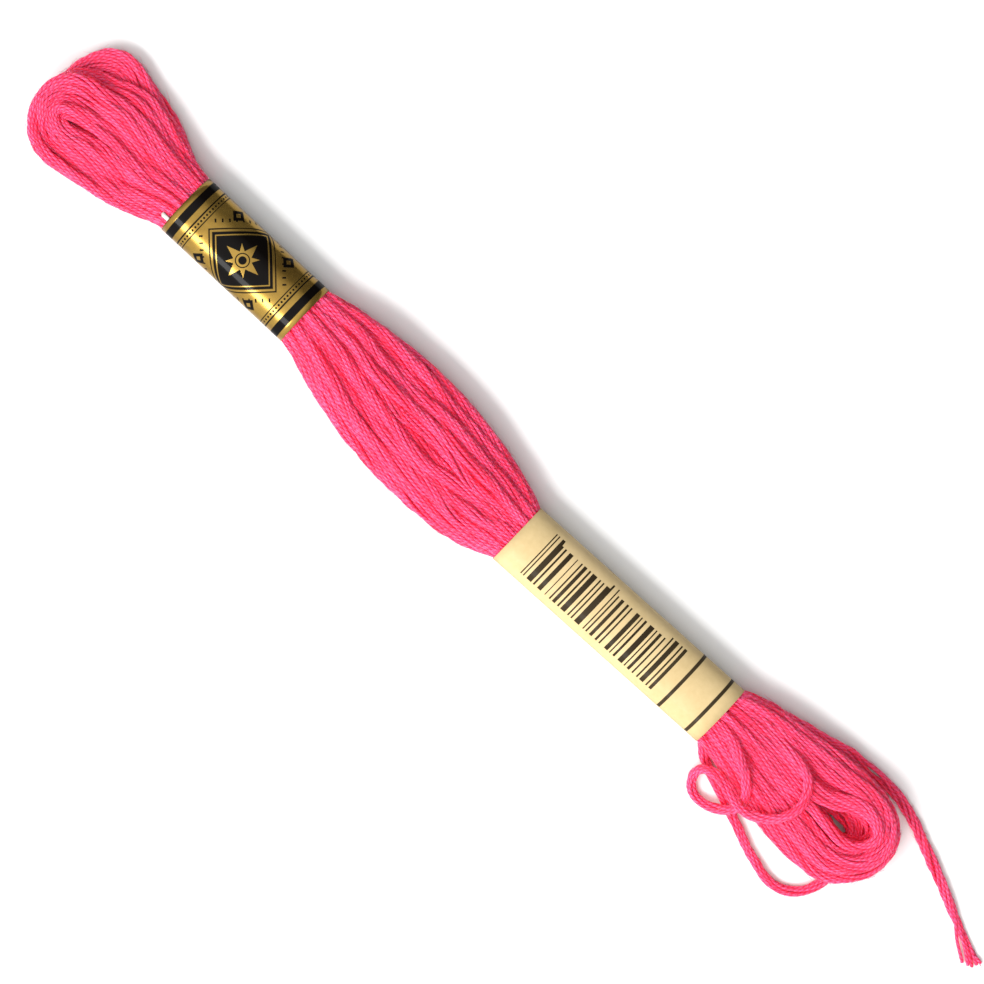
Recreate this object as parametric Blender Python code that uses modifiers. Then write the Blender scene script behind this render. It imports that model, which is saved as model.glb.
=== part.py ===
"""A skein of embroidery floss, lying flat: a long hank of thread pinched by
two paper bands, with a looped eye at each end, a pulled-out tail and two
slack turns beside the lower loop.

Frame: +X runs along the skein from the gold band's end to the cream band's
end, +Y lies across it, +Z is up. The origin is under the middle of the hank,
on the surface that the skein lies on. Sizes below are in millimetres.
"""
import math

import bmesh
import bpy
from mathutils import Matrix, Vector

MM = 0.001

# ---------------------------------------------------------------- the hank
# Section of the hank along its length. x: station, lo and hi: its two edges
# across, low and top: underside and crown. The stations beyond the bands are
# those of the two end loops, up to where their turns begin.
SECTION = (
    # x,     lo,    hi,    low,  top
    (-76.0, -9.9,   9.0, -0.55, 6.3),
    (-72.0, -9.3,   8.8, -0.55, 6.3),
    (-68.0, -8.5,   8.0, -0.45, 6.3),
    (-64.0, -7.3,   6.7, -0.10, 6.3),
    (-60.5, -5.7,   4.9,  0.60, 6.3),
    (-57.6, -4.40,  3.85, 1.15, 6.2),
    (-45.0, -4.35,  3.8,  1.15, 6.2),
    (-32.6, -4.40,  3.8,  1.15, 6.2),
    (-29.5, -5.5,   5.7,  0.40, 6.6),
    (-24.0, -7.1,   6.7, -0.40, 7.1),
    (-16.5, -9.0,   7.9, -0.70, 7.6),
    (-10.0, -9.8,   8.0, -0.75, 7.7),
    (-3.5,  -9.75,  7.8, -0.70, 7.6),
    (2.0,   -9.1,   6.7, -0.45, 7.3),
    (7.0,   -8.0,   5.2,  0.10, 6.9),
    (9.0,   -6.3,   3.6,  0.80, 6.5),
    (11.0,  -5.50,  2.50, 1.15, 6.2),
    (14.0,  -5.42,  2.55, 1.15, 6.2),
    (32.0,  -5.0,   3.0,  1.15, 6.2),
    (52.6,  -4.5,   3.45, 1.15, 6.2),
    (54.6,  -5.8,   5.6,  0.60, 6.2),
    (58.0,  -6.5,   6.9, -0.30, 6.1),
    (63.0,  -7.2,   7.8, -0.55, 6.0),
    (68.0,  -7.7,   7.8, -0.60, 6.0),
    (72.0,  -8.3,   7.6, -0.60, 6.1),
)
LAYERS = 4        # turns lie in this many layers, one over another
NEST = 3          # and this many deep from the eye to the rim
FILL = 1.22       # how far neighbouring turns press into each other

# End loops, one row a layer from the lowest up. x, y: middle of the eye,
# reach: from there to the rim along X, lo and hi: to the rim across,
# eye_x and eye_y: half sizes of the eye left between the turns.
TOP_LOOP = (
    # x,     y,    reach, lo,  hi,  eye_x, eye_y
    (-71.5,  2.4,  10.4,  8.6, 7.4, 2.2, 0.5),
    (-71.8,  2.1,  10.3,  9.2, 7.5, 2.2, 0.6),
    (-75.5, -2.8,   8.6,  7.0, 8.9, 3.2, 0.9),
    (-76.0, -3.0,   7.6,  6.4, 8.1, 3.2, 1.1),
)
LOW_LOOP = (
    # x,     y,    reach, lo,  hi,  eye_x, eye_y
    (72.0,   0.8,   8.6,  8.3, 6.9, 4.2, 1.6),
    (73.0,   0.8,   8.9,  8.7, 6.9, 4.6, 1.8),
    (75.6,   0.8,   8.3,  9.1, 6.8, 4.2, 2.0),
    (75.6,   0.8,   7.4,  8.3, 6.2, 4.2, 2.0),
)
TWIST = math.radians(16.0)   # the wound turns roll round each other in the swell

SKIN = 0.42       # fineness of the hank's fused skin
SKIN_FACES = 7400

# --------------------------------------------------------------- the bands
WALL = 0.40
# x0, x1: ends, y0, y1: middle across at each end, wide, high: outside,
# low: underside above the surface
BANDS = {
    "band_gold":  dict(x0=-56.8, x1=-32.8, y0=-0.22, y1=0.05,  wide=10.3, high=6.9, low=0.20),
    "band_cream": dict(x0=11.7,  x1=51.7,  y0=-1.58, y1=-0.30, wide=10.3, high=6.9, low=0.20),
}
BAND_SIDES = 40
BAND_SQUARE = 2.25   # 2 is an ellipse, more is squarer

# --------------------------------------------------------------- the cords
FLOSS = 1.35      # diameter of the six-strand floss
ROUTES = {
    # the free end: along the hank's side, off it and away over the surface
    "pull_tail": (
        (69.2, 9.05, 2.1), (72.8, 9.22, 1.5), (76.2, 9.42, 0.95), (79.8, 9.15, 0.72),
        (82.4, 8.46, 0.70), (85.2, 7.40, 0.70), (88.0, 6.28, 0.70), (90.8, 5.15, 0.70),
        (93.7, 3.90, 0.70), (96.3, 2.68, 0.70), (98.6, 1.55, 0.70), (100.9, 0.45, 0.70),
        (102.8, -0.45, 0.70), (104.5, -1.25, 0.70)),
    # out of the crown, down over the side, round in a curl on the surface,
    # back over itself and up across the crown in a wide bend
    "slack_curl": (
        (58.8, -3.2, 7.25), (60.8, -4.5, 7.0), (62.3, -6.1, 6.0), (63.0, -7.6, 4.35),
        (62.6, -9.0, 3.0), (61.2, -10.4, 1.9), (59.1, -11.4, 1.1), (57.0, -11.4, 0.75),
        (55.5, -10.3, 0.9), (54.9, -8.9, 1.7), (55.5, -7.5, 3.2), (57.0, -6.9, 4.8),
        (58.8, -7.1, 5.6), (60.6, -7.6, 6.0), (62.4, -8.1, 6.0), (64.2, -8.0, 6.05),
        (66.1, -7.1, 6.5), (67.8, -5.6, 6.95), (68.8, -3.7, 7.15), (69.1, -1.6, 7.2),
        (68.4, 0.4, 7.2), (66.9, 2.0, 7.2), (64.6, 2.8, 7.1)),
    # out of the cream band's mouth, along the hank's foot, out to the side
    # and back under the lower loop
    "slack_bight": (
        (52.8, -5.3, 1.40), (54.2, -6.2, 0.98), (56.0, -7.05, 0.76), (58.0, -7.75, 0.70),
        (59.8, -8.4, 0.70), (61.6, -9.05, 0.70), (63.3, -9.7, 0.70),
        (64.9, -10.4, 0.70), (66.8, -11.1, 0.70), (68.9, -11.85, 0.70), (70.7, -12.4, 0.70),
        (72.6, -12.9, 0.70), (74.8, -13.0, 0.70), (76.8, -12.3, 0.70), (78.4, -10.9, 0.70),
        (79.35, -9.2, 0.70), (79.8, -7.5, 0.72), (79.9, -6.2, 0.80)),
}
STEP = 2.7        # distance between points along a cord

# ----------------------------------------------------------------- helpers


def smooth(a, b, c, d, t):
    """Catmull-Rom between b and c, for numbers or vectors."""
    return 0.5 * ((2 * b) + (c - a) * t + (2 * a - 5 * b + 4 * c - d) * t * t
                  + (3 * b - a - 3 * c + d) * t ** 3)


def section(x):
    """lo, hi, low and top of the hank at station x."""
    rows = SECTION
    x = min(max(x, rows[0][0]), rows[-1][0])
    i = max(j for j in range(len(rows) - 1) if rows[j][0] <= x)
    t = (x - rows[i][0]) / (rows[i + 1][0] - rows[i][0])
    t = t * t * (3 - 2 * t)
    return [rows[i][k] + (rows[i + 1][k] - rows[i][k]) * t for k in range(1, 5)]


def chord(level):
    """Half width of a layer as a share of the section's, and its height share."""
    t = (level + 0.5) / LAYERS * 2 - 1
    return math.sqrt(1 - 0.85 * t * t), t


def pass_point(x, layer, nest, side):
    """Middle and half thickness of one pass of a turn at station x."""
    lo, hi, low, top = section(x)
    wide, t = chord(layer)
    half_w, half_h = (hi - lo) / 2, (top - low) / 2
    r = FILL * 0.5 * math.sqrt((half_w * wide / NEST) * (2 * half_h / LAYERS))
    s = side * (nest + 0.5) / NEST * wide
    # the layers roll a little round the skein's axis between the bands
    swell = max(0.0, 1 - ((x + 11.0) / 20.0) ** 2)
    turn = TWIST * swell
    s, t = s * math.cos(turn) - t * math.sin(turn), s * math.sin(turn) + t * math.cos(turn)
    y = (lo + hi) / 2 + s * (half_w - 0.55 * r)
    z = (low + top) / 2 + t * (half_h - 0.55 * r) * 1.06
    return Vector((x, y, z)), r


def end_arc(table, layer, nest, way):
    """Points of a turn's bend round an eye, from side -1 to side +1."""
    x, y, reach, lo, hi, eye_x, eye_y = table[layer]
    share = (nest + 0.5) / NEST
    thick = FILL * 0.5 * (reach - eye_x) / NEST
    _, _, low, top = section(x)
    z = low + (top - low) * (layer + 0.5) / LAYERS
    out = []
    for i in range(9):
        a = math.pi * i / 8
        across = eye_y + ((lo if a < math.pi / 2 else hi) - eye_y) * share
        along = eye_x + (reach - eye_x) * share
        out.append((Vector((x + way * along * math.sin(a), y - across * math.cos(a), z)), thick))
    return out


def turn_points(layer, nest):
    """One closed turn of the hank: along one side, round, and back."""
    first, last = TOP_LOOP[layer][0] + 5.0, LOW_LOOP[layer][0] - 5.0
    count = 44
    xs = [first + (last - first) * i / count for i in range(count + 1)]
    back = [pass_point(x, layer, nest, -1) for x in reversed(xs)]
    there = [pass_point(x, layer, nest, +1) for x in xs]
    top = end_arc(TOP_LOOP, layer, nest, -1)
    low = end_arc(LOW_LOOP, layer, nest, +1)
    return back + top + there + list(reversed(low))


def even(points, step):
    """Points at even steps along the smooth curve through the given ones."""
    pts = [Vector(p) for p in points]
    pts = [2 * pts[0] - pts[1]] + pts + [2 * pts[-1] - pts[-2]]
    fine = []
    for i in range(1, len(pts) - 2):
        for k in range(24):
            fine.append(smooth(*pts[i - 1:i + 3], k / 24))
    fine.append(pts[-2])
    run = [0.0]
    for p, q in zip(fine, fine[1:]):
        run.append(run[-1] + (q - p).length)
    n = max(2, round(run[-1] / step))
    out, j = [], 0
    for i in range(n + 1):
        want = run[-1] * i / n
        while j < len(run) - 2 and run[j + 1] < want:
            j += 1
        f = (want - run[j]) / (run[j + 1] - run[j])
        out.append(fine[j].lerp(fine[j + 1], min(1.0, f)))
    return out


def material(name, colour, roughness, metallic=0.0):
    m = bpy.data.materials.new(name)
    m.use_nodes = True
    b = m.node_tree.nodes["Principled BSDF"]
    b.inputs["Base Color"].default_value = (*colour, 1.0)
    b.inputs["Roughness"].default_value = roughness
    b.inputs["Metallic"].default_value = metallic
    m.diffuse_color = (*colour, 1.0)
    return m


def put(obj, collection, mat=None):
    collection.objects.link(obj)
    if mat is not None:
        obj.data.materials.append(mat)
    return obj


def as_mesh(obj, name):
    """The evaluated object as a welded mesh."""
    deps = bpy.context.evaluated_depsgraph_get()
    mesh = bpy.data.meshes.new_from_object(obj.evaluated_get(deps))
    mesh.name = name
    bm = bmesh.new()
    bm.from_mesh(mesh)
    bmesh.ops.remove_doubles(bm, verts=bm.verts, dist=1e-6)
    bm.to_mesh(mesh)
    bm.free()
    return mesh


def replace_data(obj, mesh, collection, mat):
    """A mesh object in the place of the given one."""
    name, world = obj.name, obj.matrix_world.copy()
    bpy.data.objects.remove(obj)
    new = bpy.data.objects.new(name, mesh)
    new.matrix_world = world
    mesh.materials.clear()
    return put(new, collection, mat)


# ------------------------------------------------------------------- build
for o in list(bpy.data.objects):
    bpy.data.objects.remove(o)

parts = bpy.data.collections.new("embroidery_floss_skein")
cutters = bpy.data.collections.new("cutters")
bpy.context.scene.collection.children.link(parts)
bpy.context.scene.collection.children.link(cutters)

floss = material("floss_pink", (0.90, 0.055, 0.19), 0.55)
gold = material("gold_foil_paper", (0.62, 0.44, 0.14), 0.30, 0.6)
cream = material("cream_glossy_paper", (0.86, 0.74, 0.50), 0.32)


def hank():
    """The wound hank: every closed turn is a tube that swells with the
    section, and their fused skin is cut level with the surface."""
    curve = bpy.data.curves.new("hank_turns", "CURVE")
    curve.dimensions = "3D"
    curve.bevel_depth = MM
    curve.bevel_resolution = 2
    for layer in range(LAYERS):
        for nest in range(NEST):
            pts = turn_points(layer, nest)
            line = curve.splines.new("POLY")
            line.points.add(len(pts) - 1)
            for point, (place, thick) in zip(line.points, pts):
                point.co = (*(place * MM), 1.0)
                point.radius = thick
            line.use_cyclic_u = True
    turns = put(bpy.data.objects.new("hank", curve), parts)
    obj = replace_data(turns, as_mesh(turns, "hank"), parts, floss)

    fuse = obj.modifiers.new("fuse", "REMESH")
    fuse.mode = "VOXEL"
    fuse.voxel_size = SKIN * MM
    fuse.adaptivity = 0.0
    mesh = as_mesh(obj, "hank")
    obj = replace_data(obj, mesh, parts, floss)

    # only the outer skin stays: pockets between the turns are filled
    bm = bmesh.new()
    bm.from_mesh(obj.data)
    left = set(bm.verts)
    shells = []
    while left:
        seed = left.pop()
        shell, edge = {seed}, [seed]
        while edge:
            v = edge.pop()
            for e in v.link_edges:
                w = e.other_vert(v)
                if w in left:
                    left.remove(w)
                    shell.add(w)
                    edge.append(w)
        shells.append(shell)
    shells.sort(key=len)
    bmesh.ops.delete(bm, geom=[v for s in shells[:-1] for v in s], context="VERTS")
    bm.to_mesh(obj.data)
    bm.free()

    soft = obj.modifiers.new("soften", "SMOOTH")
    soft.factor = 0.5
    soft.iterations = 2
    thin = obj.modifiers.new("thin", "DECIMATE")
    thin.ratio = min(1.0, SKIN_FACES / (2.0 * len(obj.data.polygons)))
    mesh = as_mesh(obj, "hank")
    obj = replace_data(obj, mesh, parts, floss)

    bpy.ops.mesh.primitive_cube_add(size=1.0, location=(0.0, 0.0, -10 * MM))
    cutter = bpy.context.active_object
    cutter.name = "surface_cut"
    for c in list(cutter.users_collection):
        c.objects.unlink(cutter)
    cutters.objects.link(cutter)
    cutter.data.transform(Matrix.Diagonal((260 * MM, 80 * MM, 20 * MM, 1.0)))
    cutter.hide_render = True
    cutter.display_type = "WIRE"
    level = obj.modifiers.new("level_foot", "BOOLEAN")
    level.operation = "DIFFERENCE"
    level.solver = "EXACT"
    level.object = cutter
    return obj


def oval(wide, high, n):
    """A flattened ring of points, rounder at its sides."""
    ring = []
    for i in range(n):
        a = 2 * math.pi * i / n
        c, s = math.cos(a), math.sin(a)
        k = 2.0 / BAND_SQUARE
        ring.append((wide / 2 * math.copysign(abs(c) ** k, c), high / 2 * math.copysign(abs(s) ** k, s)))
    return ring


def band(name, x0, x1, y0, y1, wide, high, low, mat):
    """A paper sleeve: an oval ring run between its two ends, given its wall
    inwards."""
    bm = bmesh.new()
    rings = []
    for k in range(5):
        f = k / 4
        x, y = x0 + (x1 - x0) * f, y0 + (y1 - y0) * f
        rings.append([bm.verts.new(Vector((x, y + p, low + high / 2 + q)) * MM) for p, q in oval(wide, high, BAND_SIDES)])
    for a, b in zip(rings, rings[1:]):
        for i in range(BAND_SIDES):
            j = (i + 1) % BAND_SIDES
            bm.faces.new((a[i], a[j], b[j], b[i]))
    bmesh.ops.recalc_face_normals(bm, faces=bm.faces)
    mesh = bpy.data.meshes.new(name)
    bm.to_mesh(mesh)
    bm.free()
    obj = put(bpy.data.objects.new(name, mesh), parts, mat)
    shell = obj.modifiers.new("paper", "SOLIDIFY")
    shell.thickness = WALL * MM
    shell.offset = -1.0
    mesh.shade_smooth()
    return obj


def cord(name, route):
    """A free length of floss: a tube with closed ends along its route."""
    curve = bpy.data.curves.new(name, "CURVE")
    curve.dimensions = "3D"
    curve.bevel_depth = FLOSS / 2 * MM
    curve.bevel_resolution = 2
    curve.use_fill_caps = True
    pts = even(route, STEP)
    line = curve.splines.new("POLY")
    line.points.add(len(pts) - 1)
    for point, place in zip(line.points, pts):
        point.co = (*(place * MM), 1.0)
    return put(bpy.data.objects.new(name, curve), parts, floss)


hank()
for key, size in BANDS.items():
    band(key, mat=gold if key == "band_gold" else cream, **size)
for key, route in ROUTES.items():
    cord(key, route)
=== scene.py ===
"""Skein of embroidery floss: the looks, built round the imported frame.

The hank is the wound floss itself, one length of six twisted strands laid in
its turns and then settled against itself, the bands and the surface. Lengths
in the floss code are millimetres, and meshes are made in metres.
"""
import math

import bpy
import numpy as np
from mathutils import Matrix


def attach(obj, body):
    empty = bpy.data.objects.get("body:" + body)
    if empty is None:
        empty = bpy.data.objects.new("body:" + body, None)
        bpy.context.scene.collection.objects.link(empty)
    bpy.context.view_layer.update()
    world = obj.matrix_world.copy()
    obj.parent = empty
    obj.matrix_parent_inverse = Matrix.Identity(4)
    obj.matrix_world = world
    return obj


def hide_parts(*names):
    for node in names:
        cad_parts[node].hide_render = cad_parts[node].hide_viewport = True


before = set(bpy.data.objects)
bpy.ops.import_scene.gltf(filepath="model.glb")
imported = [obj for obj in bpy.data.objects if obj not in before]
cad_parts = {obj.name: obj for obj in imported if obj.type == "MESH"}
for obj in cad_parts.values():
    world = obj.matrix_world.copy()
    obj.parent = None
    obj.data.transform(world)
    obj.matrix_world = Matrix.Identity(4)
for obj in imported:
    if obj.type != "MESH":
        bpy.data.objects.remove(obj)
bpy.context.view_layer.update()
MM = 0.001
RNG = np.random.default_rng(602025)

# ------------------------------------------------------------------ camera
# straight above, with the skein lying across the picture
TURN = math.radians(43.7)
CENTRE = (4.85, 0.30)
FRAME_MM = 144.28
LENS = 150.0
camera_data = bpy.data.cameras.new("camera")
camera_data.lens = LENS
camera_data.sensor_width = 36.0
camera_data.clip_start = 0.01
camera_data.clip_end = 20.0
camera = bpy.data.objects.new("camera", camera_data)
bpy.context.scene.collection.objects.link(camera)
LEVEL = 4.0    # the plane whose scale is the photograph's
camera.location = (CENTRE[0] * MM, CENTRE[1] * MM, (FRAME_MM * LENS / 36.0 + LEVEL) * MM)
camera.rotation_euler = (0.0, 0.0, TURN)
bpy.context.scene.camera = camera

# ------------------------------------------------------------------- cords
FLOSS = 1.35
ROUTES = {
    "pull_tail": (
        (69.2, 9.05, 2.1), (72.8, 9.22, 1.5), (76.2, 9.42, 0.95), (79.8, 9.15, 0.72),
        (82.4, 8.46, 0.70), (85.2, 7.40, 0.70), (88.0, 6.28, 0.70), (90.8, 5.15, 0.70),
        (93.7, 3.90, 0.70), (96.3, 2.68, 0.70), (98.6, 1.55, 0.70), (100.9, 0.45, 0.70),
        (102.8, -0.45, 0.70), (104.5, -1.25, 0.70)),
    "slack_curl": (
        (58.8, -3.2, 7.25), (60.8, -4.5, 7.0), (62.3, -6.1, 6.0), (63.0, -7.6, 4.35),
        (62.6, -9.0, 3.0), (61.2, -10.4, 1.9), (59.1, -11.4, 1.1), (57.0, -11.4, 0.75),
        (55.5, -10.3, 0.9), (54.9, -8.9, 1.7), (55.5, -7.5, 3.2), (57.0, -6.9, 4.8),
        (58.8, -7.1, 5.6), (60.6, -7.6, 6.0), (62.4, -8.1, 6.0), (64.2, -8.0, 6.05),
        (66.1, -7.1, 6.5), (67.8, -5.6, 6.95), (68.8, -3.7, 7.15), (69.1, -1.6, 7.2),
        (68.4, 0.4, 7.2), (66.9, 2.0, 7.2), (64.6, 2.8, 7.1)),
    "slack_bight": (
        (52.8, -5.3, 1.40), (54.2, -6.2, 0.98), (56.0, -7.05, 0.76), (58.0, -7.75, 0.70),
        (59.8, -8.4, 0.70), (61.6, -9.05, 0.70), (63.3, -9.7, 0.70),
        (64.9, -10.4, 0.70), (66.8, -11.1, 0.70), (68.9, -11.85, 0.70), (70.7, -12.4, 0.70),
        (72.6, -12.9, 0.70), (74.8, -13.0, 0.70), (76.8, -12.3, 0.70), (78.4, -10.9, 0.70),
        (79.35, -9.2, 0.70), (79.8, -7.5, 0.72), (79.9, -6.2, 0.80)),
}
EXITS = {"pull_tail": 0, "slack_curl": 0, "slack_bight": 0}

# the hank's section along its length: station, edges across, underside, crown
SECTION = np.array((
    (-76.0, -10.0, 9.7, 0.0, 6.7), (-72.0, -9.5, 9.2, 0.0, 6.7), (-68.0, -8.8, 8.2, 0.0, 6.7),
    (-64.0, -7.9, 6.9, 0.1, 6.7), (-60.5, -6.4, 5.6, 0.4, 6.7), (-57.6, -5.3, 4.9, 0.6, 6.6),
    (-45.0, -5.1, 4.9, 0.75, 6.55), (-32.6, -5.05, 5.2, 0.6, 6.6), (-29.5, -5.7, 5.9, 0.35, 6.9),
    (-24.0, -7.6, 7.3, 0.0, 7.2), (-20.0, -8.8, 7.9, 0.0, 7.4), (-16.5, -9.6, 8.3, 0.0, 7.5),
    (-10.0, -10.4, 8.5, 0.0, 7.5), (-3.5, -10.2, 7.9, 0.0, 7.5), (2.0, -9.6, 6.9, 0.0, 7.3),
    (7.0, -8.6, 5.8, 0.15, 7.1), (9.5, -7.6, 4.7, 0.4, 6.8), (11.8, -6.5, 3.5, 0.6, 6.6),
    (14.0, -6.3, 3.3, 0.75, 6.55), (32.0, -5.8, 4.2, 0.75, 6.55), (51.6, -5.4, 4.9, 0.6, 6.6),
    (54.6, -5.9, 6.5, 0.3, 6.7), (58.0, -6.7, 7.4, 0.0, 6.8), (63.0, -7.7, 8.1, 0.0, 6.8),
    (68.0, -8.6, 9.0, 0.0, 6.8), (72.0, -9.0, 9.4, 0.0, 6.8)))
NESTS = (4, 5, 5, 5, 5)      # turns side by side in each layer, from the lowest up
LAYERS = len(NESTS)
# end loops, a row for each layer from the lowest up: middle of the eye, reach
# from there to the rim along X, lo and hi to the rim across, half sizes of
# the eye, and height
TOP_LOOP = np.array((
    (-76.4, 1.6, 6.2, 7.9, 9.3, 1.7, 0.6, 0.75),
    (-76.8, 1.4, 6.3, 8.6, 9.8, 1.7, 0.6, 2.40),
    (-77.0, -1.9, 6.6, 8.2, 7.7, 2.2, 0.8, 3.60),
    (-77.2, -3.3, 6.6, 7.1, 7.7, 2.7, 0.7, 4.85),
    (-77.2, -3.7, 6.1, 6.1, 7.5, 3.0, 0.7, 6.10)))
LOW_LOOP = np.array((
    (76.6, 0.4, 5.3, 7.9, 9.5, 1.2, 0.95, 0.70),
    (76.6, 0.4, 6.4, 8.5, 9.3, 1.3, 0.95, 2.05),
    (76.0, 1.0, 8.2, 9.3, 7.3, 3.9, 1.9, 3.40),
    (76.3, 1.2, 8.1, 9.8, 6.8, 3.9, 2.3, 4.75),
    (76.2, 1.3, 7.4, 9.2, 6.0, 3.9, 2.5, 6.05)))
# how far out each turn of a layer lies, as a share from the eye to the rim,
# on side -1 and on side +1
UPPER = ((0.10, 0.27, 0.44, 0.72, 0.90), (0.09, 0.26, 0.49, 0.69, 0.89))
EVEN = ((0.10, 0.30, 0.50, 0.70, 0.90), (0.10, 0.30, 0.50, 0.70, 0.90))
SHARE = {
    "top": (((0.12, 0.36, 0.62, 0.88), (0.34, 0.53, 0.72, 0.90)),
            ((0.10, 0.27, 0.44, 0.72, 0.90), (0.20, 0.42, 0.58, 0.74, 0.90)), UPPER, UPPER, UPPER),
    "low": (((0.03, 0.20, 0.54, 0.87), (0.03, 0.20, 0.54, 0.87)),
            ((0.04, 0.21, 0.43, 0.67, 0.89), (0.04, 0.21, 0.43, 0.67, 0.89)), EVEN, EVEN, EVEN),
}
# upright columns kept clear of floss, for an open eye: middle, half sizes,
# lean, and the height from which it holds
CLEAR = ((76.6, 0.0, 1.15, 0.85, 0.0, 0.0), (77.0, 1.45, 3.5, 2.1, 0.34, 3.0))
BANDS = {
    "band_gold": dict(x0=-56.8, x1=-32.8, y0=-0.22, y1=0.05, wide=10.3, high=6.9, low=0.20),
    "band_cream": dict(x0=11.7, x1=51.7, y0=-1.58, y1=-0.30, wide=10.3, high=6.9, low=0.20),
}
BAND_SQUARE = 2.25


def smooth(a, b, c, d, t):
    """Catmull-Rom between b and c."""
    return 0.5 * ((2 * b) + (c - a) * t + (2 * a - 5 * b + 4 * c - d) * t * t
                  + (3 * b - a - 3 * c + d) * t ** 3)


def dense(points, n=24):
    """A fine line along the smooth curve through the given points."""
    p = np.asarray(points, float)
    p = np.vstack([2 * p[0] - p[1], p, 2 * p[-1] - p[-2]])
    t = np.arange(n)[:, None] / n
    out = [smooth(p[i - 1], p[i], p[i + 1], p[i + 2], t) for i in range(1, len(p) - 2)]
    return np.vstack(out + [p[-2][None]])


def runs(line):
    return np.concatenate([[0.0], np.cumsum(np.linalg.norm(np.diff(line, axis=0), axis=1))])


def resample(line, step):
    """Points at even steps along a fine line."""
    run = runs(line)
    n = max(2, int(round(run[-1] / step)))
    want = np.linspace(0, run[-1], n + 1)
    return np.stack([np.interp(want, run, line[:, k]) for k in range(3)], 1)


def wave(x, seed, scale):
    """Smooth even noise along x, about -1 to 1, another for each seed."""
    r = np.random.default_rng(seed)
    knots = r.uniform(-1, 1, 64)
    u = (np.asarray(x, float) / scale) % 60
    i = np.floor(u).astype(int)
    f = u - i
    f = f * f * (3 - 2 * f)
    return knots[i] * (1 - f) + knots[i + 1] * f


def section(x):
    x = np.clip(np.asarray(x, float), SECTION[0, 0], SECTION[-1, 0])
    i = np.clip(np.searchsorted(SECTION[:, 0], x, side="right") - 1, 0, len(SECTION) - 2)
    t = (x - SECTION[i, 0]) / (SECTION[i + 1, 0] - SECTION[i, 0])
    t = t * t * (3 - 2 * t)
    return SECTION[i, 1:] + (SECTION[i + 1, 1:] - SECTION[i, 1:]) * t[..., None]


def swell_weight(x):
    """0 inside the bands and the loops, 1 in the middle of the swell."""
    return np.clip(1 - ((x + 11.0) / 22.0) ** 2, 0, 1)


def pass_line(layer, nest, side):
    """One pass of a turn from the top loop to the low loop."""
    first, last = TOP_LOOP[layer, 0] + 5.0, LOW_LOOP[layer, 0] - 5.0
    x = np.linspace(first, last, 190)
    lo, hi, low, top = section(x).T
    r = 0.60
    t = (layer + 0.5) / LAYERS * 2 - 1
    wide = math.sqrt(1 - 0.80 * t * t)
    open_top, open_low = np.clip((-58 - x) / 6, 0, 1), np.clip((x - 53) / 6, 0, 1)
    spread = np.maximum(open_top, open_low) if t < 0 else 0.4 * np.maximum(open_top, open_low)
    wide = wide + (0.97 - wide) * spread
    s = side * (nest + 0.5) / NESTS[layer] * wide
    if layer < 2 and nest == 0:
        s = s * (1 - 0.35 * open_low)
    t = np.full_like(x, t) * (1 - 0.32 * (s / wide) ** 2)      # a layer droops at its edges
    key = layer * 100 + nest * 10 + (side + 1)
    w = swell_weight(x)
    turn = math.radians(14.0) * w
    s, t = s * np.cos(turn) - t * np.sin(turn), s * np.sin(turn) + t * np.cos(turn)
    s = s + (0.11 + 0.02 * layer) * np.sqrt(w) * (1 - 0.85 * s * s) * wave(x + 90, 1000 + key, 10.5)
    t = t + 0.11 * np.sqrt(w) * wave(x + 90, 2000 + key, 13.0)
    s = s + 0.05 * (open_top + open_low) * wave(x + 90, 3000 + key, 8.0)
    k = np.sqrt(s * s + t * t)
    k = np.where(k > 0.97, 0.97 / k, 1.0)
    s, t = s * k, t * k
    y = (lo + hi) / 2 + s * ((hi - lo) / 2 - r) - (2.1 * open_top + 0.3 * open_low) * ((layer + 0.5) / LAYERS * 2 - 1)
    z = low + r + (t + 1) / 2 * (top - low - 2 * r)
    return np.stack([x, y, z], 1)


def end_arc(which, turn_a, turn_b, way):
    """A bend round an eye, from side -1 of turn_a to side +1 of turn_b."""
    table = TOP_LOOP if which == "top" else LOW_LOOP
    (la, na), (lb, nb) = turn_a, turn_b
    n = 33
    a = np.linspace(0, math.pi, n)
    f = a / math.pi
    f = f * f * (3 - 2 * f)
    ra, rb = table[la], table[lb]
    row = ra[None] * (1 - f[:, None]) + rb[None] * f[:, None]
    sh = SHARE[which][la][0][na] * (1 - f) + SHARE[which][lb][1][nb] * f
    x, y, reach, lo, hi, ex, ey, z = row.T
    key = (5000 if which == "top" else 6000) + la * 100 + na * 10
    sh = sh + 0.04 * wave(a * 6, key, 3.0)
    half = np.where(a < math.pi / 2, lo, hi)
    across = ey + (half - ey) * sh
    along = ex + (reach - ex) * sh
    z = z + 0.30 * wave(a * 6, key + 7, 4.0) * np.sin(a)
    lean = 2.3 * sh * np.sin(a) ** 2 * np.clip((z - 1.5) / 2.5, 0, 1) if which == "top" else 0.0
    return np.stack([x + way * along * np.sin(a), y - across * np.cos(a) + lean, z], 1)


# -------------------------------------------------------- the wound length
# turns in the order that the floss winds them
ORDER = ([(4, n) for n in (4, 3, 2, 1, 0)] + [(3, n) for n in range(5)]
         + [(2, n) for n in (4, 3, 2, 1, 0)] + [(1, n) for n in (0, 1, 2, 3)]
         + [(0, n) for n in (0, 1, 2, 3)] + [(1, 4)])
CURL_FROM, CURL_TO = (4, 2), (4, 1)       # the turns that the curl is slack of
BIGHT_FROM, BIGHT_TO = (0, 2), (0, 3)


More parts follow.
